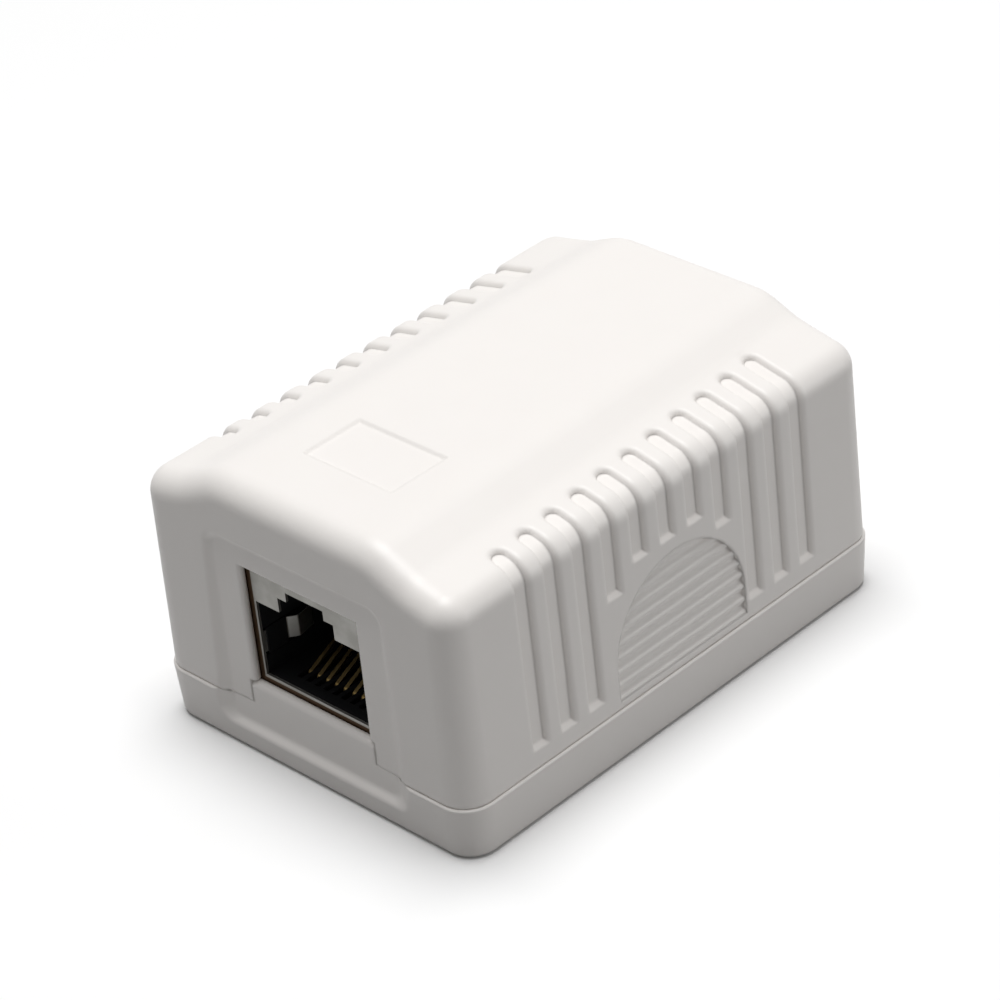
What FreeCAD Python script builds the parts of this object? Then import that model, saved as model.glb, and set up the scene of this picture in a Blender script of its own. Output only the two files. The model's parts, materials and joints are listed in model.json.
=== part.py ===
import FreeCAD, Part
import math
import os

# Single-port shielded surface mount jack box, built as it comes apart on the bench:
# a screw-down base tray, a lift-off cover, a circuit board with a shielded RJ45 jack
# and two insulation-displacement terminal blocks, and a clamp for the cable screen.
# Millimetres. Origin at the middle of the underside, +Z up, the jack faces -Y.

Vec = FreeCAD.Vector
os.makedirs("parts", exist_ok=True)

# ---- outside sizes -----------------------------------------------------------
box_width = 36.0            # X, over the base tray
box_length = 50.2           # Y, over the base tray
box_height = 26.2           # Z, to the flat of the lid
seam_height = 4.95          # where the cover sits on the tray
corner_radius = 2.8         # upright corners
least_corner = 0.5          # smallest radius left where a wall moves a corner inwards
wall_draft = 0.9            # degrees, cover walls lean in going up

# ---- base tray ---------------------------------------------------------------
base_floor = 1.6
foot_inset = 0.3            # the tray narrows by this on each side at the underside
foot_radius = 0.6           # rounding of the bottom edge
seam_chamfer = 0.15
lap_clearance = 0.2         # between the tray's rim and the cover's skirt
rim_thickness = 0.65
rim_height = 1.6            # above the seam

# ---- cover -------------------------------------------------------------------
cover_step = 0.18           # the cover stands this far inside the tray's edge
skirt_thickness = 0.95      # cover wall left outside the lap
lap_headroom = 0.25         # above the rim
cover_wall = 1.8
roof_thickness = 1.8
top_edge_radius = 2.3       # soft edge all round the lid

# lid section: a flat plateau, a flank each side and a shoulder sloping to the edge
plateau_inset_front = 9.0   # from the box's side to the plateau, at the front
plateau_inset_back = 9.95
crease_inset_front = 4.8    # from the box's side to the foot of the flank
crease_inset_back = 6.7
shoulder_inset = 1.2        # the shoulder's height is given this far in from the side
shoulder_drop = 2.7         # below the flat of the lid
shoulder_slope = 12.5       # degrees
plateau_round = 6.0
crease_round = 6.0

# grip grooves down both sides
groove_count = 11
groove_pitch = 3.24
groove_centre = -0.14       # along Y
groove_depth = 0.46
groove_half_width = 0.74    # where the lips round over
groove_floor_half = 0.66    # flat at the bottom of the groove
groove_lip_half = 1.35      # where the fall of the lips begins
groove_lip_rise = 0.02      # the cutter's lips start this far outside the surface
groove_lip_fall = 0.05      # and have sunk this far where they round over
groove_lip_radius = 0.5
groove_clear = 0.6          # the cutter stands this far out of the wall
groove_run_out = 42.0       # degrees from level, ramp at the lower end
groove_low_end = 1.7        # above the seam: long grooves
groove_mid_end = 10.4       # one each side of the knock-out
groove_high_end = 12.4      # above the knock-out
groove_tip_front = 0.3      # foremost groove: from the edge's rounding to the centre of the round end
groove_tip_back = 2.7       # the same for the rearmost groove
groove_short_reach = 0.6    # nearer the break-out's middle than this share, grooves end highest

# break-out cable panels in both side walls
knockout_half = 7.72
knockout_sill = 0.75        # bottom edge above the seam
knockout_spring = 2.75      # from the bottom edge to where the arch springs
knockout_centre = 0.54      # along Y
knockout_crest = 0.12       # rib crests lie this far under the wall's surface
knockout_valley = 0.42      # and the valleys between them this far
knockout_pitch = 1.245
knockout_first = 0.12       # from the bottom edge to the lowest crest
knockout_land = 0.8         # wall with no lap beside the panel

# shallow label field on the lid
label_width = 10.0
label_length = 6.3
label_setback = 10.8        # its middle behind the front
label_depth = 0.25

# sunk panel round the jack, across cover and tray
panel_half = 10.05          # at the panel's floor
panel_top = 21.0
panel_bottom = 2.45
panel_depth = 0.47          # from the tray's front face
panel_side_slant = 1.3      # how far the side walls open over that depth
panel_end_slant = 0.4       # the same for the top and bottom walls
panel_top_radius = 1.6
panel_bottom_radius = 1.1
panel_land = 1.0            # wall with no lap beside the panel

# jack window in the cover, closed below by an upstand of the tray
front_wall = 0.95           # between the panel and the jack
window_half = 6.68
window_top = 18.48
upstand_half = 7.1
upstand_rise = 2.1          # above the seam
upstand_clearance = 0.12
pocket_clearance = 0.3      # round the jack, inside the cover

# snap beads on the rim, with notches in the skirt
bead_length = 5.0
bead_height = 0.12
bead_radius = 0.5
bead_offset = 15.5          # along Y, each way
bead_clearance = 0.06

# ---- board and jack ----------------------------------------------------------
board_standoff = 2.6        # posts above the tray's floor
board_thickness = 1.6
board_side_gap = 0.82       # board to the tray's wall
board_setback = 1.4         # board edge behind the jack's face
board_corner = 1.0
board_margin = 1.1          # board behind the terminal blocks

jack_gap = 0.08             # jack face to the inside of the front wall
jack_width = 16.0
jack_height = 13.4          # above the board
jack_depth = 17.4
sheet = 0.25                # shield sheet metal
sheet_gap = 0.05
shield_lift = 0.1           # shield above the board
insert_depth = 3.9          # contact insert at the back of the jack
insert_headroom = 3.0       # above the insert

port_width = 11.9
port_sill = 1.97            # the port's floor above the board
port_height = 7.2           # main opening
latch_width = 6.4
latch_rise = 1.4            # above the main opening
notch_width = 4.3
notch_rise = 0.9            # above the latch step
port_depth = 12.2
port_clearance = 0.05

finger_sill = 3.9           # ground fingers at both sides of the port, above the board
finger_height = 2.0
finger_sheet = 0.2
finger_root = 0.1           # outside the port's edge
finger_lead = 2.9           # straight part
finger_bend = 0.8           # length of the inward bend
finger_dip = 0.95           # how far it bends in
finger_tail = 1.7
finger_return = 0.5         # how far the tail comes back out
finger_room = 1.1           # recess in the housing for the finger to flex into

contact_count = 8
contact_pitch = 1.02
contact_width = 0.35
contact_thickness = 0.25
contact_rise = 1.15         # run under the port's floor, above the board
contact_setback = 1.6       # front bend behind the jack's face
contact_reach = 11.2        # tip behind the jack's face
contact_tip_rise = 5.9      # tip above the board
contact_root_bend = 0.4
contact_front_bend = 0.3
tail_inset = 1.15           # last row of tails inside the jack's back
tail_row_gap = 1.8
tail_below = 1.0            # tails stand this far below the board
slot_clearance = 0.1
insert_clearance = 0.04

shield_leg_setback = 10.6
shield_leg_width = 1.4
shield_leg_root = 0.5       # above the board

# ---- terminal blocks ---------------------------------------------------------
terminal_rows = 4
terminal_pitch = 2.9
terminal_end = 1.0          # block beyond the outer rows, both ends together
terminal_width = 8.4        # X
terminal_height = 11.0      # above the board
terminal_gap = 1.0          # behind the jack
terminal_side = 1.4         # inside the board's edge
terminal_body = 4.2         # solid foot below the wire slots
terminal_chamfer = 0.5
wire_slot = 1.0
wire_slot_mouth = 2.0
wire_slot_funnel = 1.6
blade_width = 2.0           # Y
blade_thickness = 0.4       # X
blade_top_gap = 1.6         # blade tips lie this far below the block's top
blade_seat = 0.2            # blade shoulder above the board
fork_slot = 0.3
fork_depth = 4.5
fork_mouth = 0.4            # how much wider each side is at the tips
fork_lead = 0.8
blade_clearance = 0.05
blade_pin = 0.6

# ---- cable entry, clamp and screws --------------------------------------------
cable_radius = 3.1
cable_lift = 0.3            # cable above the tray's floor
entry_half = 5.0            # cable hole in the tray's floor
entry_gap = 1.3             # behind the clamp
entry_margin = 0.4          # in front of the back wall
entry_corner = 1.0
clamp_gap = 0.9             # behind the board
clamp_width = 4.2           # Y
clamp_strap = 0.9
clamp_room = 0.6            # beside the cable
clamp_bend = 0.3
clamp_bow_radius = 1.9
clamp_screw_gap = 1.6       # from the bow to the screw's head
clamp_ear = 2.7             # ear beyond the screw
clamp_boss_rise = 3.8       # above the tray's floor
saddle_length = 2.4
saddle_side = 1.9           # beside the cable
saddle_rise = 2.4

boss_radius = 2.3
boss_root = 0.5             # bosses start this deep in the floor
screw_head_radius = 2.1
screw_head_height = 1.5
screw_head_chamfer = 0.5
screw_radius = 1.15
screw_length = 4.5
screw_clearance = 0.05
screw_tip_gap = 0.3
screw_hole_gap = 0.25       # in the board and the clamp
screw_recess = 0.5
recess_arm = 1.2
recess_half = 0.3
board_screw_gap = 1.5       # from the jack's side to the screw's head
board_screw_setback = 3.6   # behind the board's front edge
board_post_gap = 0.4        # post inside the board's side
board_pin_inset = 3.2       # in front of the board's back edge
board_pin_radius = 1.0
board_pin_rise = 0.6        # above the board
board_pin_clearance = 0.1

wall_slot_inset_x = 6.0     # from the box's side
wall_slot_inset_y = 5.2     # from the box's back
wall_slot_radius = 1.8
wall_slot_length = 5.6

rib_half_gap = 4.6          # hold-down ribs under the lid
rib_thickness = 1.0
rib_setback = 3.5           # behind the jack's face
rib_length = 11.0
rib_clearance = 0.35

# ---- worked out from the above -------------------------------------------------
half_width = box_width / 2
half_length = box_length / 2
draft = math.tan(math.radians(wall_draft))
slope = math.tan(math.radians(shoulder_slope))
cover_half_x = half_width - cover_step
cover_half_y = half_length - cover_step
cover_corner = corner_radius - cover_step
base_wall = cover_step + skirt_thickness + lap_clearance + rim_thickness
panel_face = -half_length + panel_depth
upstand_top = seam_height + upstand_rise

board_bottom = base_floor + board_standoff
board_top = board_bottom + board_thickness
board_half = half_width - base_wall - board_side_gap
jack_front = panel_face + front_wall + jack_gap
jack_back = jack_front + jack_depth
jack_half = jack_width / 2
jack_top = board_top + jack_height
housing_half = jack_half - sheet - sheet_gap
housing_top = jack_top - sheet - sheet_gap
port_bottom = board_top + port_sill
port_step = port_bottom + port_height
latch_step = port_step + latch_rise
notch_top = latch_step + notch_rise
finger_bottom = board_top + finger_sill
contact_level = board_top + contact_rise
contact_bend_y = jack_front + contact_setback
tail_back_row = jack_back - tail_inset
tail_front_row = tail_back_row - tail_row_gap
shield_leg_y = jack_front + shield_leg_setback

terminal_length = terminal_rows * terminal_pitch + terminal_end
terminal_centre_x = board_half - terminal_side - terminal_width / 2
terminal_centre_y = jack_back + terminal_gap + terminal_length / 2
terminal_top = board_top + terminal_height
board_front = jack_front + board_setback
board_back = terminal_centre_y + terminal_length / 2 + board_margin

board_screw_x = jack_half + board_screw_gap + screw_head_radius
board_screw_y = board_front + board_screw_setback
board_post_x = board_half - board_post_gap - boss_radius
board_pin_y = board_back - board_pin_inset
cable_centre = base_floor + cable_lift + cable_radius
clamp_y = board_back + clamp_gap + clamp_width / 2
clamp_inside = cable_radius + clamp_room
clamp_boss_x = clamp_inside + clamp_strap + clamp_screw_gap + screw_head_radius
clamp_boss_top = base_floor + clamp_boss_rise
clamp_ear_half = clamp_boss_x + clamp_ear
entry_front = clamp_y + clamp_width / 2 + entry_gap
entry_back = half_length - base_wall - entry_margin
wall_slot_x = half_width - wall_slot_inset_x
wall_slot_y = half_length - wall_slot_inset_y

past = 1.0                  # how far a cutter stands out of what it cuts
sky = box_height + 5.0      # anything above the part


def rounded(points, radii, closed=True):
    """Wire through the points, with an arc of the given radius at each one."""
    count = len(points)
    edges = []
    start = points[0]
    first_out = None
    order = range(count) if closed else range(1, count - 1)
    for i in order:
        corner = points[i]
        before = (points[i - 1] - corner).normalize()
        after = (points[(i + 1) % count] - corner).normalize()
        half_angle = before.getAngle(after) / 2
        radius = radii[i]
        reach = radius / math.tan(half_angle)
        arc_start = corner + before * reach
        arc_end = corner + after * reach
        if first_out is None and closed:
            first_out = arc_start
        else:
            edges.append(Part.LineSegment(start, arc_start).toShape())
        if radius > 0:
            inward = (before + after).normalize()
            middle = corner + inward * (radius / math.sin(half_angle) - radius)
            edges.append(Part.Arc(arc_start, middle, arc_end).toShape())
        start = arc_end
    last = first_out if closed else points[-1]
    edges.append(Part.LineSegment(start, last).toShape())
    return Part.Wire(edges)


def rectangle(half_x, half_y, radius, z):
    """Rounded rectangle about the Z axis."""
    points = [Vec(half_x, half_y, z), Vec(-half_x, half_y, z),
              Vec(-half_x, -half_y, z), Vec(half_x, -half_y, z)]
    return rounded(points, [radius] * 4)


def box(x0, x1, y0, y1, z0, z1):
    return Part.makeBox(x1 - x0, y1 - y0, z1 - z0, Vec(x0, y0, z0))


def drum(radius, x, y, z0, z1):
    return Part.makeCylinder(radius, z1 - z0, Vec(x, y, z0))


def prism(points, radii, way):
    """Rounded outline, filled and drawn out along the vector way."""
    return Part.Face(rounded(points, radii)).extrude(way)


def plate(half_x, y0, y1, radius, z0, z1):
    """Flat plate with rounded corners, symmetrical about the YZ plane."""
    points = [Vec(half_x, y0, z0), Vec(half_x, y1, z0), Vec(-half_x, y1, z0), Vec(-half_x, y0, z0)]
    return prism(points, [radius] * 4, Vec(0, 0, z1 - z0))


def mirrored(shape):
    return shape.mirror(Vec(0, 0, 0), Vec(1, 0, 0))


# ---- cover ---------------------------------------------------------------------

def cover_outline(z, inward):
    """Outline of the leaning cover wall at a height, moved inwards."""
    shift = inward + (z - seam_height) * draft
    radius = max(cover_corner - shift, least_corner)
    return rectangle(cover_half_x - shift, cover_half_y - shift, radius, z)


def cover_walls(inward, bottom, top):
    return Part.makeLoft([cover_outline(bottom, inward), cover_outline(top, inward)], True, True)


def wall_x(z):
    return cover_half_x - (z - seam_height) * draft


def shoulder_height(x):
    return box_height - shoulder_drop + (half_width - shoulder_inset - x) * slope


def lid_section(y, down):
    """Closed section of all that lies under the lid's surface, at one place along Y."""
    along = (y + half_length) / box_length
    plateau = half_width - plateau_inset_front + (plateau_inset_front - plateau_inset_back) * along
    crease = half_width - crease_inset_front + (crease_inset_front - crease_inset_back) * along
    outer = half_width + past
    right = [Vec(outer, y, 0), Vec(outer, y, shoulder_height(outer) - down),
             Vec(crease, y, shoulder_height(crease) - down), Vec(plateau, y, box_height - down)]
    left = [Vec(-p.x, p.y, p.z) for p in reversed(right)]
    radii = [0, 0, crease_round, plateau_round]
    return rounded(right + left, radii + list(reversed(radii)))


def under_lid(down):
    reach = half_length + past
    return Part.makeLoft([lid_section(-reach, down), lid_section(reach, down)], True, True)


def lid_edges(shape):
    """The edges all round the lid, where it meets the walls."""
    low = shoulder_height(half_width) - past
    edges = []
    for edge in shape.Edges:
        middle = edge.CenterOfMass
        beside = abs(middle.x) > cover_half_x - cover_wall
        ahead = abs(middle.y) > cover_half_y - cover_wall
        if middle.z > low and (beside or ahead):
            edges.append(edge)
    return edges


def cover_body():
    bottom = cover_outline(seam_height, seam_chamfer)
    shoulder = cover_outline(seam_height + seam_chamfer, 0)
    walls = Part.makeLoft([bottom, shoulder, cover_outline(sky, 0)], True, True)
    body = walls.common(under_lid(0))
    return body.makeFillet(top_edge_radius, lid_edges(body))


def groove_section(x, y, z):
    """Groove outline, looking down on the upright wall at (x, y): lips, flanks and floor."""
    right = [Vec(x + groove_clear, y + groove_lip_half, z),
             Vec(x + groove_lip_rise, y + groove_lip_half, z),
             Vec(x - groove_lip_fall, y + groove_half_width, z),
             Vec(x - groove_depth, y + groove_floor_half, z)]
    left = [Vec(p.x, 2 * y - p.y, z) for p in reversed(right)]
    radii = [0, 0, groove_lip_radius, 0]
    return rounded(right + left, radii + list(reversed(radii)))


def groove_tip(tip):
    """Round end of a groove: half of its section, turned about the lid's normal."""
    reach = groove_lip_half + past
    half = Part.Face(groove_section(0, 0, 0)).common(box(-reach, reach, 0, reach, -reach, reach))
    knob = half.revolve(Vec(0, 0, 0), Vec(1, 0, 0), 180)
    knob.rotate(Vec(0, 0, 0), Vec(0, 1, 0), -90 + shoulder_slope)
    knob.translate(tip)
    return knob


def groove(y, low, beyond):
    """Cutter for one groove: up the wall, over the edge's rounding and along the shoulder."""
    start = Vec(wall_x(low - past), y, low - past)
    corner_z = (shoulder_height(0) - (cover_half_x + seam_height * draft) * slope) / (1 - slope * draft)
    corner = Vec(wall_x(corner_z), y, corner_z)
    turn = math.radians(90 + wall_draft - shoulder_slope)
    tip_x = corner.x - top_edge_radius * math.tan(turn / 2) * math.cos(math.radians(shoulder_slope)) - beyond
    tip = Vec(tip_x, y, shoulder_height(tip_x))
    path = rounded([start, corner, tip], [0, top_edge_radius, 0], closed=False)
    section = groove_section(start.x, y, start.z)
    section.rotate(start, Vec(0, 1, 0), -wall_draft)
    run = path.makePipeShell([section], True, False)
    reach = groove_lip_half + past
    ramp = box(-reach, reach, y - reach, y + reach, -2 * reach, 0)
    ramp.rotate(Vec(0, 0, 0), Vec(0, 1, 0), groove_run_out)
    ramp.translate(Vec(wall_x(low), 0, low))
    return run.cut(ramp).fuse(groove_tip(tip))


def groove_end(y):
    """Height of a groove's lower end: they stop above the break-out panel."""
    beside = abs(y - knockout_centre) / knockout_half
    if beside > 1:
        return seam_height + groove_low_end
    if beside > groove_short_reach:
        return seam_height + groove_mid_end
    return seam_height + groove_high_end


def grooves():
    tools = []
    for i in range(groove_count):
        y = groove_centre + (i - (groove_count - 1) / 2) * groove_pitch
        beyond = groove_tip_front + (groove_tip_back - groove_tip_front) * i / (groove_count - 1)
        tool = groove(y, groove_end(y), beyond)
        tools += [tool, mirrored(tool)]
    return tools


def arch(x0, x1):
    """Half-round arch outline of the break-out panel, drawn out along X."""
    y = knockout_centre
    half = knockout_half
    bottom = seam_height + knockout_sill
    spring = bottom + knockout_spring
    foot_left = Vec(x0, y - half, bottom)
    foot_right = Vec(x0, y + half, bottom)
    spring_left = Vec(x0, y - half, spring)
    spring_right = Vec(x0, y + half, spring)
    crown = Vec(x0, y, spring + half)
    edges = [Part.LineSegment(foot_left, foot_right).toShape(),
             Part.LineSegment(foot_right, spring_right).toShape(),
             Part.Arc(spring_right, crown, spring_left).toShape(),
             Part.LineSegment(spring_left, foot_left).toShape()]
    return Part.Face(Part.Wire(edges)).extrude(Vec(x1 - x0, 0, 0))


def knockout():
    """Cutter for one ribbed break-out panel in the +X wall: waves cut to the arch's outline."""
    bottom = seam_height + knockout_sill
    outside = half_width + past
    middle = (knockout_crest + knockout_valley) / 2
    start = bottom + knockout_first - 0.75 * knockout_pitch
    waves = int(math.ceil((knockout_spring + knockout_half) / knockout_pitch)) + 1
    edges = []
    for i in range(2 * waves):
        sink = knockout_valley if i % 2 == 0 else knockout_crest
        low = start + i * knockout_pitch / 2
        mid = low + knockout_pitch / 4
        high = low + knockout_pitch / 2
        edges.append(Part.Arc(Vec(wall_x(low) - middle, 0, low), Vec(wall_x(mid) - sink, 0, mid),
                              Vec(wall_x(high) - middle, 0, high)).toShape())
    top = start + waves * knockout_pitch
    corners = [Vec(wall_x(top) - middle, 0, top), Vec(outside, 0, top), Vec(outside, 0, start),
               Vec(wall_x(start) - middle, 0, start)]
    edges += [Part.LineSegment(a, b).toShape() for a, b in zip(corners, corners[1:])]
    comb = Part.Face(Part.Wire(edges))
    comb.translate(Vec(0, knockout_centre - knockout_half - past, 0))
    comb = comb.extrude(Vec(0, 2 * (knockout_half + past), 0))
    return comb.common(arch(half_width - cover_wall, outside + past))


def panel_cutter():
    """Sunk panel round the jack, with slanted walls and its floor at the panel's face."""
    wires = []
    for y, steps in ((panel_face, 0), (panel_face - 2 * panel_depth, 2)):
        half = panel_half + steps * panel_side_slant
        low = panel_bottom - steps * panel_end_slant
        high = panel_top + steps * panel_end_slant
        points = [Vec(half, y, low), Vec(half, y, high), Vec(-half, y, high), Vec(-half, y, low)]
        radii = [panel_bottom_radius, panel_top_radius, panel_top_radius, panel_bottom_radius]
        wires.append(rounded(points, radii))
    return Part.makeLoft(wires, True, True)


def lap_zones(spare):
    """Where there is no lap: across the jack panel and at the break-out panels."""
    front = panel_half + panel_land + spare
    side = knockout_half + knockout_land + spare
    y = knockout_centre
    across = box(-front, front, -half_length - past, -half_length + corner_radius + base_wall, 0, sky)
    sides = box(-half_width - past, half_width + past, y - side, y + side, 0, sky)
    return across.fuse(sides)


def snap_beads(grow):
    """Half-round beads along the rim's outside, on both long sides."""
    z = seam_height + rim_height / 2
    x = wall_x(z) - skirt_thickness - lap_clearance + bead_height + grow - bead_radius
    beads = []
    for y in (-bead_offset, bead_offset):
        length = bead_length + 2 * grow
        start = Vec(x, y - length / 2, z)
        bead = Part.makeCylinder(bead_radius, length, start, Vec(0, 1, 0))
        beads += [bead, mirrored(bead)]
    return beads


def front_cut(half, top, back):
    """Upright slot through the front wall, open below."""
    return box(-half, half, -half_length - past, back, 0, top)


def make_cover():
    inside = cover_walls(cover_wall, seam_height - past, sky).common(under_lid(roof_thickness))
    lap_top = seam_height + rim_height + lap_headroom
    lap = cover_walls(skirt_thickness, seam_height - past, lap_top).cut(lap_zones(0))
    pocket_half = jack_half + pocket_clearance
    pocket = box(-pocket_half, pocket_half, panel_face + front_wall, jack_front + board_setback,
                 0, jack_top + pocket_clearance)
    cover = cover_body().cut([inside, lap, pocket])
    ribs = []
    for x in (-rib_half_gap, rib_half_gap):
        ribs.append(box(x - rib_thickness / 2, x + rib_thickness / 2,
                        jack_front + rib_setback, jack_front + rib_setback + rib_length,
                        jack_top + rib_clearance, box_height - roof_thickness / 2))
    cover = cover.fuse(ribs)
    window = front_cut(window_half, window_top, panel_face + front_wall + past)
    slot = front_cut(upstand_half + upstand_clearance, upstand_top + upstand_clearance,
                     panel_face + front_wall + past)
    label_centre = -half_length + label_setback
    label = box(-label_width / 2, label_width / 2, label_centre - label_length / 2,
                label_centre + label_length / 2, box_height - label_depth, sky)
    side = knockout()
    tools = [panel_cutter(), window, slot, label, side, mirrored(side)]
    cover = cover.cut(tools + grooves() + snap_beads(bead_clearance))
    return cover.removeSplitter()


# ---- base tray -------------------------------------------------------------------

def tray_outline(inset, z):
    radius = max(corner_radius - inset, least_corner)
    return rectangle(half_width - inset, half_length - inset, radius, z)


def make_posts():
    """Bosses on the floor: two for the board screws, three under its back, two for the clamp."""
    low = base_floor - boss_root
    posts = []
    for side in (-1, 1):
        posts.append(drum(boss_radius, side * board_screw_x, board_screw_y, low, board_bottom))
        posts.append(drum(boss_radius, side * board_post_x, board_pin_y, low, board_bottom))
        posts.append(drum(boss_radius, side * clamp_boss_x, clamp_y, low, clamp_boss_top))
    posts.append(drum(boss_radius, 0, board_pin_y, low, board_bottom))
    posts.append(drum(board_pin_radius, 0, board_pin_y, low, board_top + board_pin_rise))
    return posts


def make_pilots():
    pilots = []
    radius = screw_radius + screw_clearance
    for side in (-1, 1):
        low = board_top - screw_length - screw_tip_gap
        pilots.append(drum(radius, side * board_screw_x, board_screw_y, low, sky))
        low = clamp_boss_top + clamp_strap - screw_length - screw_tip_gap
        pilots.append(drum(radius, side * clamp_boss_x, clamp_y, low, sky))
    return pilots


def make_wall_slots():
    slots = []
    run = wall_slot_length / 2 - wall_slot_radius
    top = base_floor + past
    for side in (-1, 1):
        x = side * wall_slot_x
        slots.append(box(x - run, x + run, wall_slot_y - wall_slot_radius, wall_slot_y + wall_slot_radius,
                         -past, top))
        slots.append(drum(wall_slot_radius, x - run, wall_slot_y, -past, top))
        slots.append(drum(wall_slot_radius, x + run, wall_slot_y, -past, top))
    return slots


def make_base():
    tray = Part.makeLoft([tray_outline(foot_inset, 0), tray_outline(0, seam_height - seam_chamfer),
                          tray_outline(seam_chamfer, seam_height)], True, True)
    under = [edge for edge in tray.Edges if edge.BoundBox.ZMax < seam_chamfer]
    tray = tray.makeFillet(foot_radius, under)

    rim_out = skirt_thickness + lap_clearance
    rim = cover_walls(rim_out, base_floor, seam_height + rim_height).cut(lap_zones(lap_clearance))
    rim = rim.fuse(snap_beads(0))
    upstand = box(-upstand_half, upstand_half, panel_face, panel_face + front_wall, base_floor, upstand_top)
    hollow = Part.Face(tray_outline(base_wall, base_floor)).extrude(Vec(0, 0, sky))
    tray = tray.fuse(rim).cut(hollow).fuse(upstand)

    saddle_half = cable_radius + saddle_side
    saddle = box(-saddle_half, saddle_half, clamp_y - saddle_length / 2, clamp_y + saddle_length / 2,
                 base_floor - boss_root, base_floor + saddle_rise)
    tray = tray.fuse(make_posts() + [saddle])
    cable_length = saddle_length + 2 * past
    cable = Part.makeCylinder(cable_radius, cable_length,
                              Vec(0, clamp_y - cable_length / 2, cable_centre), Vec(0, 1, 0))
    entry = plate(entry_half, entry_front, entry_back, entry_corner, -past, base_floor + past)
    tools = [panel_cutter(), cable, entry] + make_pilots() + make_wall_slots()
    return tray.cut(tools).removeSplitter()


# ---- circuit board -----------------------------------------------------------------

def contact_x(i):
    return (i - (contact_count - 1) / 2) * contact_pitch


def tail_y(i):
    return tail_front_row if i % 2 == 0 else tail_back_row


def terminal_places():
    """Middle of each insulation-displacement contact, a column to each block."""
    places = []
    for x in (-terminal_centre_x, terminal_centre_x):
        for row in range(terminal_rows):
            places.append((x, terminal_centre_y + (row - (terminal_rows - 1) / 2) * terminal_pitch))
    return places


def square_hole(x, y, width):
    half = width / 2 + slot_clearance
    return box(x - half, x + half, y - half, y + half, board_bottom - past, board_top + past)


def make_board():
    board = plate(board_half, board_front, board_back, board_corner, board_bottom, board_top)
    holes = [square_hole(contact_x(i), tail_y(i), contact_width) for i in range(contact_count)]
    holes += [square_hole(x, y, blade_pin) for x, y in terminal_places()]
    low = board_bottom - past
    high = board_top + past
    for side in (-1, 1):
        holes.append(drum(screw_radius + screw_hole_gap, side * board_screw_x, board_screw_y, low, high))
        leg = shield_leg_width / 2 + slot_clearance
        middle = side * (jack_half - sheet / 2)
        half = sheet / 2 + slot_clearance
        holes.append(box(middle - half, middle + half, shield_leg_y - leg, shield_leg_y + leg, low, high))
    holes.append(drum(board_pin_radius + board_pin_clearance, 0, board_pin_y, low, high))
    return board.cut(holes)


# ---- jack ----------------------------------------------------------------------------

def port_profile(y0, y1, grow):
    """The stepped opening for the plug, drawn out along Y."""
    half = port_width / 2 + grow
    step = latch_width / 2 + grow
    notch = notch_width / 2 + grow
    outline = [(half, port_bottom - grow), (half, port_step + grow), (step, port_step + grow),
               (step, latch_step + grow), (notch, latch_step + grow), (notch, notch_top + grow)]
    points = [Vec(x, y0, z) for x, z in outline]
    points += [Vec(-x, y0, z) for x, z in reversed(outline)]
    return Part.Face(Part.makePolygon(points + [points[0]])).extrude(Vec(0, y1 - y0, 0))


def make_housing():
    front = jack_front + sheet + sheet_gap
    back = jack_back - sheet - sheet_gap - insert_depth
    body = box(-housing_half, housing_half, front, back, board_top, housing_top)
    tools = [port_profile(front - past, jack_front + port_depth, port_clearance)]
    reach = contact_width / 2 + slot_clearance
    for i in range(contact_count):
        x = contact_x(i)
        tools.append(box(x - reach, x + reach, contact_bend_y - contact_thickness, back + past,
                         contact_level - contact_thickness / 2 - slot_clearance, port_bottom))
    room = port_width / 2 + finger_room
    gap = slot_clearance + sheet
    tools.append(box(-room, room, front - past, jack_front + finger_lead + finger_bend + finger_tail + gap,
                     finger_bottom - gap, finger_bottom + finger_height + gap))
    return body.cut(tools)


def make_insert():
    """Block at the jack's back that carries the contacts, with a slot for each from below."""
    back = jack_back - sheet - sheet_gap
    front = back - insert_depth + sheet_gap
    body = box(-housing_half, housing_half, front, back, board_top, housing_top - insert_headroom)
    slots = []
    half = contact_thickness / 2 + insert_clearance
    reach = contact_width / 2 + insert_clearance
    for i in range(contact_count):
        x = contact_x(i)
        slots.append(box(x - reach, x + reach, front - past, tail_y(i) + half,
                         board_top - past, contact_level + half))
    return body.cut(slots)


def make_contact(i):
    """Spring wire: tail through the board, run under the port, then back up into it."""
    x = contact_x(i) - contact_width / 2
    y = tail_y(i)
    points = [Vec(x, y, board_bottom - tail_below), Vec(x, y, contact_level),
              Vec(x, contact_bend_y, contact_level),
              Vec(x, jack_front + contact_reach, board_top + contact_tip_rise)]
    path = rounded(points, [0, contact_root_bend, contact_front_bend, 0], closed=False)
    half = contact_thickness / 2
    z = points[0].z
    section = Part.makePolygon([Vec(x, y - half, z), Vec(x + contact_width, y - half, z),
                                Vec(x + contact_width, y + half, z), Vec(x, y + half, z),
                                Vec(x, y - half, z)])
    return path.makePipeShell([section], True, False)


def ground_finger():
    """Spring finger folded in from the port's edge at +X, with an inward bend for the plug."""
    root = port_width / 2 + finger_root
    bend = jack_front + finger_lead
    inner = root - finger_dip
    way = [Vec(root, jack_front, finger_bottom), Vec(root, bend, finger_bottom),
           Vec(inner, bend + finger_bend, finger_bottom),
           Vec(inner + finger_return, bend + finger_bend + finger_tail, finger_bottom)]
    spine = rounded(way, [0, finger_sheet, finger_sheet, 0], closed=False)
    start = way[0]
    section = Part.makePolygon([start, start + Vec(finger_sheet, 0, 0),
                                start + Vec(finger_sheet, 0, finger_height),
                                start + Vec(0, 0, finger_height), start])
    return spine.makePipeShell([section], True, False)


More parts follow.
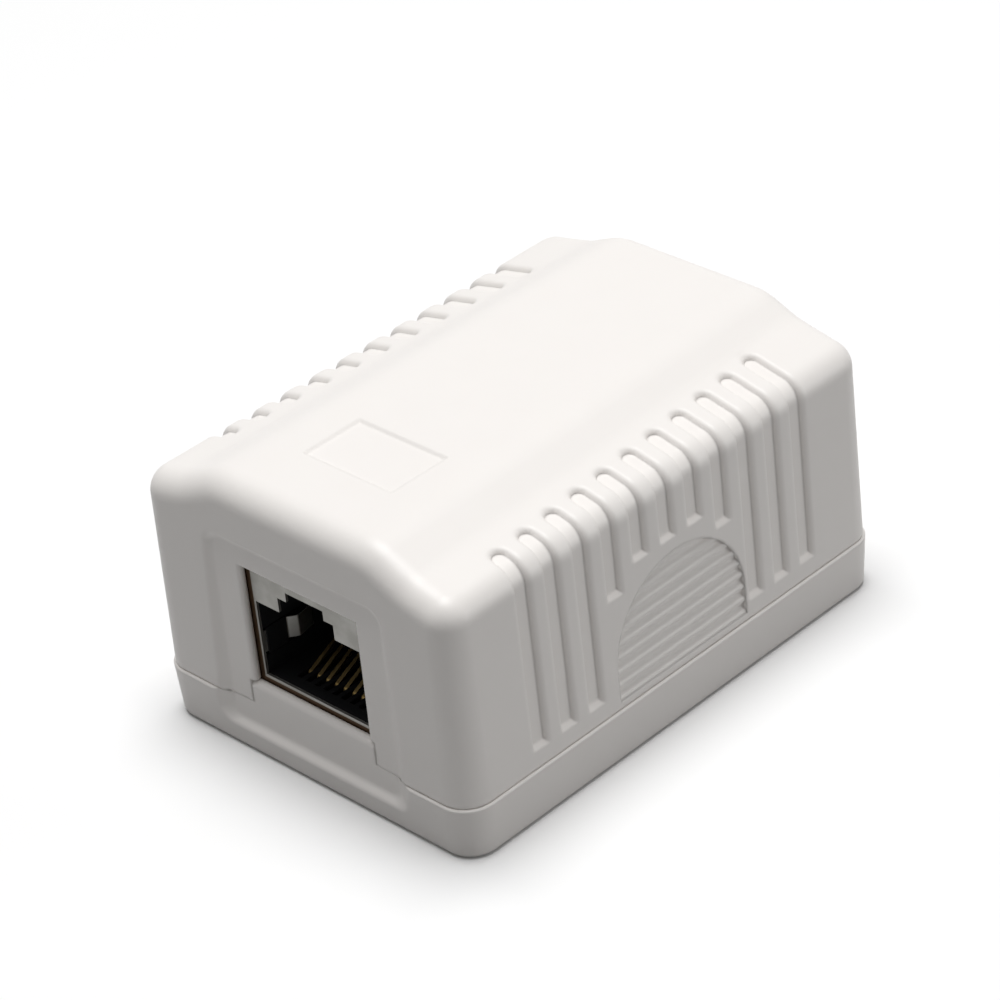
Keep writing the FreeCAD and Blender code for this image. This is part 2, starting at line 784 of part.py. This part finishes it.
def make_shield():
    outer = box(-jack_half, jack_half, jack_front, jack_back, board_top + shield_lift, jack_top)
    inner = box(-jack_half + sheet, jack_half - sheet, jack_front + sheet, jack_back - sheet,
                board_top - past, jack_top - sheet)
    shell = outer.cut(inner).cut(port_profile(jack_front - past, jack_front + past, 0))
    legs = []
    for side in (-1, 1):
        x = side * (jack_half - sheet / 2)
        legs.append(box(x - sheet / 2, x + sheet / 2, shield_leg_y - shield_leg_width / 2,
                        shield_leg_y + shield_leg_width / 2, board_bottom - tail_below,
                        board_top + shield_leg_root))
    finger = ground_finger()
    return shell.fuse(legs + [finger, mirrored(finger)]).removeSplitter()


# ---- terminal blocks -------------------------------------------------------------------

def make_terminal_block(side):
    """Plastic block with a row of wire slots across it and a pocket for each blade."""
    x = side * terminal_centre_x
    half_x = terminal_width / 2
    half_y = terminal_length / 2
    body = box(x - half_x, x + half_x, terminal_centre_y - half_y, terminal_centre_y + half_y,
               board_top, terminal_top)
    edges = [edge for edge in body.Edges if edge.BoundBox.ZMin > terminal_top - terminal_chamfer]
    body = body.makeChamfer(terminal_chamfer, edges)
    start = x - half_x - past
    slot = wire_slot / 2
    mouth = wire_slot_mouth / 2
    low = board_top + terminal_body
    throat = terminal_top - wire_slot_funnel
    reach_x = blade_thickness / 2 + blade_clearance
    reach_y = blade_width / 2 + blade_clearance
    tools = []
    for place_x, y in terminal_places():
        if place_x * side > 0:
            points = [Vec(start, y - slot, low), Vec(start, y + slot, low), Vec(start, y + slot, throat),
                      Vec(start, y + mouth, terminal_top), Vec(start, y + mouth, sky),
                      Vec(start, y - mouth, sky), Vec(start, y - mouth, terminal_top),
                      Vec(start, y - slot, throat)]
            tools.append(prism(points, [0] * len(points), Vec(terminal_width + 2 * past, 0, 0)))
            tools.append(box(x - reach_x, x + reach_x, y - reach_y, y + reach_y, board_top - past, sky))
    return body.cut(tools)


def make_blade(x, y):
    """Forked insulation-displacement blade with a pin through the board."""
    top = terminal_top - blade_top_gap
    start = x - blade_thickness / 2
    wide = blade_width / 2
    gap = fork_slot / 2
    pin = blade_pin / 2
    foot = board_top + blade_seat
    low = board_bottom - tail_below
    right = [Vec(start, y + pin, low), Vec(start, y + pin, foot), Vec(start, y + wide, foot),
             Vec(start, y + wide, top), Vec(start, y + gap + fork_mouth, top),
             Vec(start, y + gap, top - fork_lead), Vec(start, y + gap, top - fork_depth)]
    left = [Vec(p.x, 2 * y - p.y, p.z) for p in reversed(right)]
    return prism(right + left, [0] * (len(right) + len(left)), Vec(blade_thickness, 0, 0))


# ---- clamp and screws --------------------------------------------------------------------

def make_clamp():
    """Strap that bows over the cable's screen, with an ear and a screw hole each side."""
    y = clamp_y - clamp_width / 2
    low = clamp_boss_top
    rise = cable_centre + cable_radius
    t = clamp_strap
    lower = [Vec(clamp_ear_half, y, low), Vec(clamp_inside, y, low), Vec(clamp_inside, y, rise)]
    upper = [Vec(clamp_inside + t, y, rise + t), Vec(clamp_inside + t, y, low + t),
             Vec(clamp_ear_half, y, low + t)]
    outline = lower + [Vec(-p.x, y, p.z) for p in reversed(lower)]
    outline += [Vec(-p.x, y, p.z) for p in reversed(upper)] + upper
    bow = [0, clamp_bend, clamp_bow_radius]
    cap = [clamp_bow_radius + t, clamp_bend, 0]
    radii = bow + list(reversed(bow)) + list(reversed(cap)) + cap
    strap = prism(outline, radii, Vec(0, clamp_width, 0))
    radius = screw_radius + screw_hole_gap
    return strap.cut([drum(radius, side * clamp_boss_x, clamp_y, 0, sky) for side in (-1, 1)])


def screw(x, y, seat):
    """Pan-head screw standing on the height seat, with a cross recess."""
    top = seat + screw_head_height
    head = drum(screw_head_radius, x, y, seat, top)
    rim = [edge for edge in head.Edges if edge.Closed and edge.BoundBox.ZMin > seat + screw_head_chamfer]
    head = head.makeChamfer(screw_head_chamfer, rim)
    shank = drum(screw_radius, x, y, seat - screw_length, seat + screw_head_chamfer)
    arm = recess_arm
    half = recess_half
    slots = [box(x - arm, x + arm, y - half, y + half, top - screw_recess, top + past),
             box(x - half, x + half, y - arm, y + arm, top - screw_recess, top + past)]
    return head.fuse(shank).cut(slots)


def screw_pair(x, y, seat):
    return Part.makeCompound([screw(-x, y, seat), screw(x, y, seat)])


# ---- write out ------------------------------------------------------------------------------

pieces = {
    "base_tray": make_base(),
    "cover": make_cover(),
    "circuit_board": make_board(),
    "jack_housing": make_housing(),
    "jack_contact_insert": make_insert(),
    "jack_shield": make_shield(),
    "terminal_block_left": make_terminal_block(-1),
    "terminal_block_right": make_terminal_block(1),
    "screen_clamp": make_clamp(),
    "clamp_screws": screw_pair(clamp_boss_x, clamp_y, clamp_boss_top + clamp_strap),
    "board_screws": screw_pair(board_screw_x, board_screw_y, board_top),
}
for number in range(contact_count):
    pieces["jack_contact_%d" % (number + 1)] = make_contact(number)
for number, (place_x, place_y) in enumerate(terminal_places()):
    pieces["terminal_contact_%d" % (number + 1)] = make_blade(place_x, place_y)

for name, shape in pieces.items():
    shape.exportStep("parts/%s.step" % name)
    print(name, "solids", len(shape.Solids), "volume", round(shape.Volume, 2), "valid", shape.isValid())
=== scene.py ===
import json
import math
import bpy
from mathutils import Matrix, Vector


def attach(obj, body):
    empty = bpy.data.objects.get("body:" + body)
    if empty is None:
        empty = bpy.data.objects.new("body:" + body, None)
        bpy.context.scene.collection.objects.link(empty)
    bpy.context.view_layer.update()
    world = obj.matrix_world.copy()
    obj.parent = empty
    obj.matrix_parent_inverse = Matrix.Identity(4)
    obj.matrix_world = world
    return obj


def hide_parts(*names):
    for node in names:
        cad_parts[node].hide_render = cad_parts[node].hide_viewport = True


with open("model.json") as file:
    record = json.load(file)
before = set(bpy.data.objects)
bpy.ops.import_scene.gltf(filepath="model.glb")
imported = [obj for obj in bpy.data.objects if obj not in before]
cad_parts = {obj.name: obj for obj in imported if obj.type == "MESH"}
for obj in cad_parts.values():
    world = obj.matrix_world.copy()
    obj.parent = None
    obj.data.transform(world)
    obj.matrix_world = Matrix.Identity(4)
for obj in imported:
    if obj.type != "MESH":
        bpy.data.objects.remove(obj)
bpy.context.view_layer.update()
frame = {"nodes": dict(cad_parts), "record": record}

mm = 0.001
nodes = frame["nodes"]


def deselectAll():
    if bpy.context.mode != "OBJECT":
        bpy.ops.object.mode_set(mode="OBJECT")
    bpy.ops.object.select_all(action="DESELECT")


def pick(piece):
    deselectAll()
    piece.select_set(True)
    bpy.context.view_layer.objects.active = piece


def applyModifiers(piece):
    pick(piece)
    for modifier in list(piece.modifiers):
        bpy.ops.object.modifier_apply(modifier=modifier.name)


def settle(piece):  # place and size go into the mesh
    pick(piece)
    bpy.ops.object.transform_apply(location=True, rotation=True, scale=True)


class Flow:
    def __init__(self, tree, socket=None):
        self.tree = tree
        self.socket = socket

    def node(self, kind, settings=None, out=0, **inputs):
        made = self.tree.nodes.new(kind)
        for name, value in (settings or {}).items():
            if name == "stops":
                ramp = made.color_ramp
                while len(ramp.elements) < len(value):
                    ramp.elements.new(0.5)
                for stop, (place, colour) in zip(ramp.elements, value):
                    stop.position = place
                    stop.color = colour
            else:
                setattr(made, name, value)
        for name, value in inputs.items():
            key = int(name[1:]) if name[0] == "i" and name[1:].isdigit() else name.replace("_", " ")
            target = made.inputs[key]
            if isinstance(value, Flow):
                self.tree.links.new(value.socket, target)
            else:
                target.default_value = value
        return Flow(self.tree, made.outputs[out])

    def maths(self, operation, *values):
        inputs = {"i%d" % i: value for i, value in enumerate(values)}
        return self.node("ShaderNodeMath", {"operation": operation}, **inputs)

    def __add__(self, other): return self.maths("ADD", self, other)
    def __radd__(self, other): return self.maths("ADD", other, self)
    def __sub__(self, other): return self.maths("SUBTRACT", self, other)
    def __rsub__(self, other): return self.maths("SUBTRACT", other, self)
    def __mul__(self, other): return self.maths("MULTIPLY", self, other)
    def __rmul__(self, other): return self.maths("MULTIPLY", other, self)

    def parts(self):  # a vector's three values
        split = self.node("ShaderNodeSeparateXYZ", Vector=self).socket.node
        return [Flow(self.tree, axis) for axis in split.outputs]

    def between(self, low, high):  # 0 at low, 1 at high
        return self.node("ShaderNodeMapRange", {"interpolation_type": "SMOOTHSTEP"},
                         Value=self, From_Min=low, From_Max=high)

    def blend(self, first, second):  # two colours, by this value
        return self.node("ShaderNodeMix", {"data_type": "RGBA"}, out=2, i0=self, i6=first, i7=second)


def newMaterial(name, base):
    material = bpy.data.materials.new(name)
    material.use_nodes = True
    tree = material.node_tree
    shader = tree.nodes["Principled BSDF"]
    shader.inputs["Base Color"].default_value = (*base, 1)
    place = Flow(tree).node("ShaderNodeTexCoord", out=3)
    return material, shader, place


def feed(shader, name, value):
    if isinstance(value, Flow):
        value.tree.links.new(value.socket, shader.inputs[name])
    else:
        shader.inputs[name].default_value = value


def noise(place, scale, detail=2.0, rough=0.5):
    return place.node("ShaderNodeTexNoise", Vector=place, Scale=scale, Detail=detail, Roughness=rough)


def bump(height, strength, distance, under=None):
    more = {"Normal": under} if under else {}
    return height.node("ShaderNodeBump", Height=height, Strength=strength, Distance=distance, **more)


whitePlastic = {"colour": (0.865, 0.835, 0.807), "shade": (0.85, 0.818, 0.788),
                "roughness": 0.42, "spread": 0.06, "grain": 9000.0, "mottle": 260.0,
                "grainDepth": 0.006, "edgeRadius": 0.40, "ior": 1.49}


def makeWhitePlastic(name, look):
    material, shader, place = newMaterial(name, look["colour"])
    mottle = noise(place, look["mottle"], 3.0)
    grain = noise(place, look["grain"], 2.0)
    feed(shader, "Base Color", mottle.blend((*look["shade"], 1), (*look["colour"], 1)))
    feed(shader, "Roughness", look["roughness"] - look["spread"] / 2 + mottle * look["spread"])
    edges = place.node("ShaderNodeBevel", {"samples": 6}, Radius=look["edgeRadius"] * mm)
    feed(shader, "Normal", bump(grain, 0.35, look["grainDepth"] * mm, edges))
    feed(shader, "IOR", look["ior"])
    return material


jackBlack = {"colour": (0.003, 0.003, 0.0035), "roughness": 0.62, "spread": 0.1, "gloss": 0.14,
             "grain": 6000.0, "grainDepth": 0.005}
insertBlack = {**jackBlack, "colour": (0.02, 0.02, 0.022), "roughness": 0.55}


def makeDarkPlastic(name, look):
    material, shader, place = newMaterial(name, look["colour"])
    feed(shader, "Specular IOR Level", look["gloss"])
    grain = noise(place, look["grain"])
    feed(shader, "Roughness", look["roughness"] - look["spread"] / 2 + grain * look["spread"])
    feed(shader, "Normal", bump(grain, 0.3, look["grainDepth"] * mm))
    return material


# The dark brown colour and its bands on the face plate are painted shade, beside and below the port.
tinPlate = {"colour": (0.27, 0.265, 0.25), "dull": (0.22, 0.215, 0.20), "roughness": 0.44,
            "paintedShade": (0.055, 0.030, 0.015), "brownFrom": (6.12, 6.2), "brownTo": (6.7, 7.1),
            "brownBelow": (7.45, 7.53), "brownAhead": (-23.45, -23.4)}
zincSteel = {"colour": (0.66, 0.66, 0.66), "dull": (0.55, 0.56, 0.57), "roughness": 0.33}
# The contact gold is real gold, but its colour is darkened far below real gold as painted shade for
# contacts deep in the port.
goldFlash = {"colour": (0.26, 0.185, 0.075), "dull": (0.20, 0.14, 0.055), "roughness": 0.35}
tinBlade = {"colour": (0.72, 0.71, 0.67), "dull": (0.60, 0.59, 0.55), "roughness": 0.3}
sheetMarks = {"cloud": 400.0, "streak": 500.0, "stretch": (1.0, 14.0, 14.0), "spread": 0.12,
              "depth": 0.004}


def makeMetal(name, look):
    material, shader, place = newMaterial(name, look["colour"])
    cloud = noise(place, sheetMarks["cloud"], 3.0).between(0.35, 0.65)
    drawnOut = place.node("ShaderNodeMapping", Vector=place, Scale=sheetMarks["stretch"])
    streaks = noise(drawnOut, sheetMarks["streak"], 2.0)
    colour = cloud.blend((*look["dull"], 1), (*look["colour"], 1))
    if "paintedShade" in look:  # painted shade: dark brown bands on the front, beside the port and below it, where the face plate lies in shadow
        x, y, z = place.parts()
        aside = x.maths("ABSOLUTE", x)
        start, stop, below, ahead = [[edge * mm for edge in look[key]] for key in
                                     ("brownFrom", "brownTo", "brownBelow", "brownAhead")]
        edge = aside.between(*start) * (1 - aside.between(*stop))
        sill = 1 - z.between(*below)
        front = 1 - y.between(*ahead)
        colour = (edge.maths("MAXIMUM", edge, sill) * front).blend(colour, (*look["paintedShade"], 1))
    feed(shader, "Base Color", colour)
    feed(shader, "Metallic", 1.0)
    spread = sheetMarks["spread"]
    feed(shader, "Roughness", look["roughness"] - spread / 2 + streaks * spread)
    feed(shader, "Normal", bump(streaks, 0.2, sheetMarks["depth"] * mm))
    return material


solderMask = {"colour": (0.020, 0.115, 0.045), "track": (0.045, 0.200, 0.085), "roughness": 0.28,
              "tracksPerMetre": 1250.0, "trackBack": (-4.8, -4.2), "trackFront": (-6.6, -6.2),
              "grain": 900.0, "grainShare": 0.3, "depth": 0.02}


def makeBoard(name, look):
    material, shader, place = newMaterial(name, look["colour"])
    x, y, z = place.parts()
    back, front = [[edge * mm for edge in look[key]] for key in ("trackBack", "trackFront")]
    stripes = x.maths("PINGPONG", x * look["tracksPerMetre"], 1.0)
    track = stripes.between(0.28, 0.42) * (1 - y.between(*back)) * y.between(*front)
    feed(shader, "Base Color", track.blend((*look["colour"], 1), (*look["track"], 1)))
    feed(shader, "Roughness", look["roughness"])
    height = noise(place, look["grain"]) * look["grainShare"] + track
    feed(shader, "Normal", bump(height, 0.25, look["depth"] * mm))
    return material


ivoryPlastic = {"colour": (0.70, 0.69, 0.64), "shade": (0.66, 0.645, 0.59),
                "roughness": 0.36, "spread": 0.06, "grain": 7000.0, "mottle": 300.0,
                "grainDepth": 0.005, "edgeRadius": 0.10, "ior": 1.49}

finishes = {
    "housing_plastic": makeWhitePlastic("whitePlastic", whitePlastic),
    "jack_plastic": makeDarkPlastic("jackBlack", jackBlack),
    "insert_plastic": makeDarkPlastic("insertBlack", insertBlack),
    "shield_metal": makeMetal("tinPlate", tinPlate),
    "clamp_steel": makeMetal("clampSteel", zincSteel),
    "screw_steel": makeMetal("screwSteel", {**zincSteel, "roughness": 0.28}),
    "contact_gold": makeMetal("goldFlash", goldFlash),
    "blade_metal": makeMetal("tinBlade", tinBlade),
    "board_laminate": makeBoard("solderMask", solderMask),
    "terminal_plastic": makeWhitePlastic("ivoryPlastic", ivoryPlastic),
}
slotOf = {part["node"]: part["material_slot"] for part in frame["record"]["subparts"]}


def dress(piece, slot):
    piece.data.materials.clear()
    piece.data.materials.append(finishes[slot])


for nodeName, node in nodes.items():
    dress(node, slotOf[nodeName])
print("materials done:", len(finishes))


def seat(piece, slot, body, *replaced):  # what a new piece is made of, rides on and stands in for
    dress(piece, slot)
    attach(piece, body)
    if replaced:
        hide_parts(*replaced)


softFront = {  # mm, of the front as the solids have it; x is taken from the middle, either way
    "skin": 23.67, "halfWidth": 12.5, "footLine": 1.0, "lidLine": 21.9, "lidEdge": 20.0,
    "floorAt": 24.63, "floorSlack": 0.003, "floorTop": 21.1, "deeper": 0.24,
    "lean": 0.006, "leanFrom": 5.0, "outline": 9.0, "sideInset": 0.40,
    "topFrom": 19.3, "topRun": 1.7, "topInset": 0.35,
    "footTo": 2.6, "ledgeTo": 3.6, "ledgeRun": 1.15, "ledgeLift": 0.25,
    "window": 6.8, "windowFrom": 7.1, "windowHead": 18.0, "sightInset": 0.2, "sightDrop": 0.30,
    "sideReach": 12.0, "outlineSide": 8.5, "outlineTop": 20.2, "outlineFoot": 3.2,
    "revealFrom": 7.3, "sillFrom": 6.8, "outerRound": 0.22, "innerRound": 0.22,
    "windowRound": 0.50, "sillRound": 0.55, "steps": 5, "merge": 0.002, "flat": 0.3, "crease": 28}
wallLean = {"seam": 5.0, "above": 0.016, "below": -0.062, "slack": 0.005}  # the normal's z


def copyNode(name, newName):
    piece = bpy.data.objects.new(newName, nodes[name].data.copy())
    bpy.context.scene.collection.objects.link(piece)
    return piece


def facesFront(face):
    return abs(face.normal.x) < 0.002 and face.normal.y < -0.997


def isWall(face):  # the drafted outside of the front, leaning in above the seam and below it
    lean = wallLean["above"] if face.center.z > wallLean["seam"] * mm else wallLean["below"]
    return facesFront(face) and abs(face.normal.z - lean) < wallLean["slack"]


def isFloor(face):  # the sunk panel
    return facesFront(face) and abs(face.normal.z) < 0.01


def inFront(mesh, face, look):
    if any(mesh.vertices[i].co.y > -look["skin"] * mm for i in face.vertices):
        return False
    if face.normal.z > 0.03 and face.center.z > look["lidEdge"] * mm:  # rounding of the lid's edge
        return False
    x, z = abs(face.center.x), face.center.z
    if x < look["halfWidth"] * mm and look["footLine"] * mm < z < look["lidLine"] * mm:
        return True
    return isWall(face)


def chooseFaces(piece, wanted):
    pick(piece)
    bpy.ops.object.mode_set(mode="EDIT")
    bpy.ops.mesh.select_mode(type="FACE")
    bpy.ops.mesh.select_all(action="DESELECT")
    bpy.ops.object.mode_set(mode="OBJECT")
    for face in piece.data.polygons:
        face.select = wanted(face)
    bpy.ops.object.mode_set(mode="EDIT")


def splitOff(piece, wanted):  # returns what was split off, and the shading of what stays
    normals = [piece.data.corner_normals[i].vector.copy() for face in piece.data.polygons
               if not wanted(face) for i in face.loop_indices]
    chooseFaces(piece, wanted)
    bpy.ops.mesh.separate(type="SELECTED")
    bpy.ops.object.mode_set(mode="OBJECT")
    part = [o for o in bpy.context.selected_objects if o is not piece][0]
    pick(part)
    bpy.ops.mesh.customdata_custom_splitnormals_clear()
    return part, normals


def joinBack(piece, part, normals):
    piece.data.normals_split_custom_set(normals)
    deselectAll()
    part.select_set(True)
    piece.select_set(True)
    bpy.context.view_layer.objects.active = piece
    bpy.ops.object.join()
    return piece


def roundEdges(piece, size, steps, isFirst, isSecond):  # the edges between faces of two kinds
    pick(piece)
    bpy.ops.object.mode_set(mode="EDIT")
    bpy.ops.mesh.select_mode(type="EDGE")
    bpy.ops.mesh.select_all(action="DESELECT")
    bpy.ops.object.mode_set(mode="OBJECT")
    sides = {}
    for face in piece.data.polygons:
        for key in face.edge_keys:
            sides.setdefault(key, []).append(face)
    for edge in piece.data.edges:
        pair = sides.get(edge.key, [])
        if len(pair) == 2:
            one, other = pair
            edge.select = (isFirst(one) and isSecond(other)) or (isFirst(other) and isSecond(one))
    bpy.ops.object.mode_set(mode="EDIT")
    bpy.ops.mesh.bevel(offset=size * mm, segments=steps, profile=0.5, affect="EDGES",
                       clamp_overlap=False)
    bpy.ops.object.mode_set(mode="OBJECT")


def reshapeFront(skin, name, look):
    for vertex in skin.data.vertices:
        x, y, z = vertex.co / mm
        if abs(y + look["floorAt"]) > look["floorSlack"] or z > look["floorTop"]:
            continue
        if abs(x) > look["outline"] or z > look["topFrom"] or z < look["footTo"]:
            x -= math.copysign(min(abs(x) / look["outline"], 1.0) * look["sideInset"], x)
            if z > look["topFrom"]:
                z -= (z - look["topFrom"]) / look["topRun"] * look["topInset"]
            if z < look["ledgeTo"]:
                z += (look["ledgeTo"] - z) / look["ledgeRun"] * look["ledgeLift"]
        elif abs(x) < look["window"] and (z > look["windowFrom"] or name == "cover"):
            x -= math.copysign(look["sightInset"], x)
            z -= look["sightDrop"] if z > look["windowHead"] else 0
        y += look["deeper"] + max(z - look["leanFrom"], 0) * look["lean"]
        vertex.co = Vector((x, y, z)) * mm
    skin.data.update()


def roundFront(skin, name, look):
    def isSide(face):
        upright = abs(face.normal.z) < 0.95 and abs(face.center.x) < look["sideReach"] * mm
        return upright and not isWall(face) and not isFloor(face)

    def isOutline(face):
        x, z = abs(face.center.x) / mm, face.center.z / mm
        outer = x > look["outlineSide"] or z > look["outlineTop"] or z < look["outlineFoot"]
        return outer and abs(face.normal.x) < 0.9 and isSide(face)

    def isReveal(face):
        around = abs(face.normal.x) > 0.9 or face.normal.z < -0.9
        return around and face.center.z > look["revealFrom"] * mm

    def isSill(face):
        return face.normal.z > 0.9 and face.center.z > look["sillFrom"] * mm

    roundEdges(skin, look["outerRound"], look["steps"], isWall, isOutline)
    roundEdges(skin, look["innerRound"], look["steps"], isFloor, isOutline)
    if name == "cover":
        roundEdges(skin, look["windowRound"], look["steps"], isFloor, isReveal)
    else:
        roundEdges(skin, look["sillRound"], look["steps"], isFloor, isSill)


def softenFront(name, newName, look):
    piece = copyNode(name, newName)
    skin, normals = splitOff(piece, lambda face: inFront(piece.data, face, look))
    bpy.ops.object.mode_set(mode="EDIT")
    bpy.ops.mesh.select_all(action="SELECT")
    bpy.ops.mesh.remove_doubles(threshold=look["merge"] * mm)
    bpy.ops.mesh.dissolve_limited(angle_limit=math.radians(look["flat"]))
    bpy.ops.object.mode_set(mode="OBJECT")
    reshapeFront(skin, name, look)
    roundFront(skin, name, look)
    pick(skin)
    bpy.ops.object.shade_smooth_by_angle(angle=math.radians(look["crease"]))
    even = skin.modifiers.new("even", "WEIGHTED_NORMAL")
    even.keep_sharp = True
    even.weight = 60
    applyModifiers(skin)
    return joinBack(piece, skin, normals)


labelField = {"depth": 25.95, "halfX": 6.0, "front": -19.0, "back": -9.6, "inset": 0.2,
              "lift": 0.03, "slack": 0.01}


def softenLabel(piece, look):  # the field for a label has low sloping sides
    def inLabel(face):
        x, y, z = face.center / mm
        inside = abs(x) < look["halfX"] and look["front"] < y < look["back"]
        above, atFloor = z > look["depth"] - look["slack"], z < look["depth"] + look["slack"]
        return inside and above and (abs(face.normal.z) < 0.1 or atFloor)

    field, normals = splitOff(piece, inLabel)
    middle = sum((v.co for v in field.data.vertices), Vector()) / len(field.data.vertices)
    for vertex in field.data.vertices:
        if vertex.co.z < (look["depth"] + look["slack"]) * mm:
            way = vertex.co - middle
            vertex.co.x -= math.copysign(look["inset"] * mm, way.x)
            vertex.co.y -= math.copysign(look["inset"] * mm, way.y)
            vertex.co.z += look["lift"] * mm
    field.data.update()
    bpy.ops.object.shade_flat()
    return joinBack(piece, field, normals)


coverShell = softenLabel(softenFront("cover", "coverShell", softFront), labelField)
seat(coverShell, "housing_plastic", "cover", "cover")
seat(softenFront("base_tray", "trayShell", softFront), "housing_plastic", "base", "base_tray")
print("front softened")


springFingers = {"edge": 6.05, "reach": 0.6, "low": 9.6, "high": 11.8, "front": -22.6,
                 "back": -17.0, "crease": 20}


def slimFingers(look):  # the screen's side contacts stand less far into the port
    piece = copyNode("jack_shield", "screenShell")
    pick(piece)
    bpy.ops.mesh.customdata_custom_splitnormals_clear()
    for vertex in piece.data.vertices:
        x, y, z = vertex.co / mm
        level = look["low"] < z < look["high"] and look["front"] < y < look["back"]
        if level and abs(x) < look["edge"]:
            x = math.copysign(look["edge"] - (look["edge"] - abs(x)) * look["reach"], x)
            vertex.co = Vector((x, y, z)) * mm
    piece.data.update()
    bpy.ops.object.shade_smooth_by_angle(angle=math.radians(look["crease"]))
    return piece


# Black sheets set in the port as painted shade, over the side contacts' shadowed straight parts.
portShadeLiner = {"inner": 5.93, "thick": 0.11, "front": -23.0, "back": -20.85, "low": 9.45,
             "high": 11.95, "edge": 0.03}


def makeShadeLiner(side, look):  # black sheet over the straight part of a side contact, painted shade where the port lies in shadow
    deselectAll()
    size = (look["thick"], look["back"] - look["front"], look["high"] - look["low"])
    place = (side * (look["inner"] + look["thick"] / 2), (look["back"] + look["front"]) / 2,
             (look["high"] + look["low"]) / 2)
    bpy.ops.mesh.primitive_cube_add(size=1, location=Vector(place) * mm, scale=Vector(size) * mm)
    shadeLiner = bpy.context.object
    shadeLiner.name = "portShadeLinerLeft" if side < 0 else "portShadeLinerRight"
    settle(shadeLiner)
    bpy.ops.object.mode_set(mode="EDIT")
    bpy.ops.mesh.select_all(action="SELECT")
    bpy.ops.mesh.bevel(offset=look["edge"] * mm, segments=2, affect="EDGES")
    bpy.ops.object.mode_set(mode="OBJECT")
    return shadeLiner


seat(slimFingers(springFingers), "shield_metal", "base", "jack_shield")
for side in (-1, 1):
    seat(makeShadeLiner(side, portShadeLiner), "jack_plastic", "base")
print("port done")


studio = {"floorReach": 3.0, "floorColour": 0.98, "bounceColour": 0.36, "skyLight": 0.16,
          "floorRoughness": 0.9}


def seenRays(tree):  # 1 where the surroundings are looked at, straight or in gloss or glass
    start = Flow(tree)
    rays = [start.node("ShaderNodeLightPath", out=kind)
            for kind in ("Is Camera Ray", "Is Glossy Ray", "Is Transmission Ray")]
    return start.maths("MAXIMUM", start.maths("MAXIMUM", rays[0], rays[1]), rays[2])


def makeFloor(look):
    deselectAll()
    bpy.ops.mesh.primitive_plane_add(size=2 * look["floorReach"], location=(0, 0, 0))
    floor = bpy.context.object
    floor.name = "studioFloor"
    settle(floor)
    material = bpy.data.materials.new("studioFloor")
    material.use_nodes = True
    tree = material.node_tree
    shader = tree.nodes["Principled BSDF"]
    feed(shader, "Roughness", look["floorRoughness"])
    feed(shader, "Specular IOR Level", 0.0)
    seen = seenRays(tree)
    bounce, pale = look["bounceColour"], look["floorColour"]
    feed(shader, "Base Color", seen.blend((bounce, bounce, bounce, 1), (pale, pale, pale, 1)))
    floor.data.materials.append(material)


def makeSky(look):
    world = bpy.data.worlds.new("studioSky")
    bpy.context.scene.world = world
    world.use_nodes = True
    tree = world.node_tree
    background = tree.nodes["Background"]
    seen = seenRays(tree)
    sky = look["skyLight"]
    feed(background, "Color", seen.blend((sky, sky, sky, 1), (1, 1, 1, 1)))


lampAim = (0, 0, 0.01)
lamps = {
    "overheadSoftbox": {"place": (-0.04, 0.035, 0.80), "aim": lampAim, "size": 0.44, "power": 6.0},
    "rightBackFill": {"place": (0.60, 0.45, 0.08), "aim": lampAim, "size": 0.30, "power": 0.98},
    "frontLeftFill": {"place": (-0.25, -0.70, 0.06), "aim": lampAim, "size": 0.30, "power": 0.09},
}


def addAt(name, data, location):
    made = bpy.data.objects.new(name, data)
    bpy.context.scene.collection.objects.link(made)
    made.location = location
    return made


def aimed(look):
    return (Vector(look["aim"]) - Vector(look["place"])).to_track_quat("-Z", "Y")


def makeLamp(name, look):
    data = bpy.data.lights.new(name, "AREA")
    data.shape = "SQUARE"
    data.size = look["size"]
    data.energy = look["power"]
    lamp = addAt(name, data, look["place"])
    lamp.rotation_euler = aimed(look).to_euler()


makeFloor(studio)
makeSky(studio)
for lampName, look in lamps.items():
    makeLamp(lampName, look)
print("studio done")


view = {"place": (0.18838, -0.17612, 0.17978), "aim": (-0.0061, 0.0042, 0.0098), "roll": -6.2,
        "lens": 133.37, "sensor": 36.0}


def makeCamera(look):
    data = bpy.data.cameras.new("camera")
    data.sensor_width = look["sensor"]
    data.lens = look["lens"]
    camera = addAt("camera", data, look["place"])
    roll = Matrix.Rotation(math.radians(look["roll"]), 3, "Z")
    camera.rotation_euler = (aimed(look).to_matrix() @ roll).to_euler()
    bpy.context.scene.camera = camera


makeCamera(view)
bpy.context.scene.view_settings.view_transform = "Standard"
print("camera done")
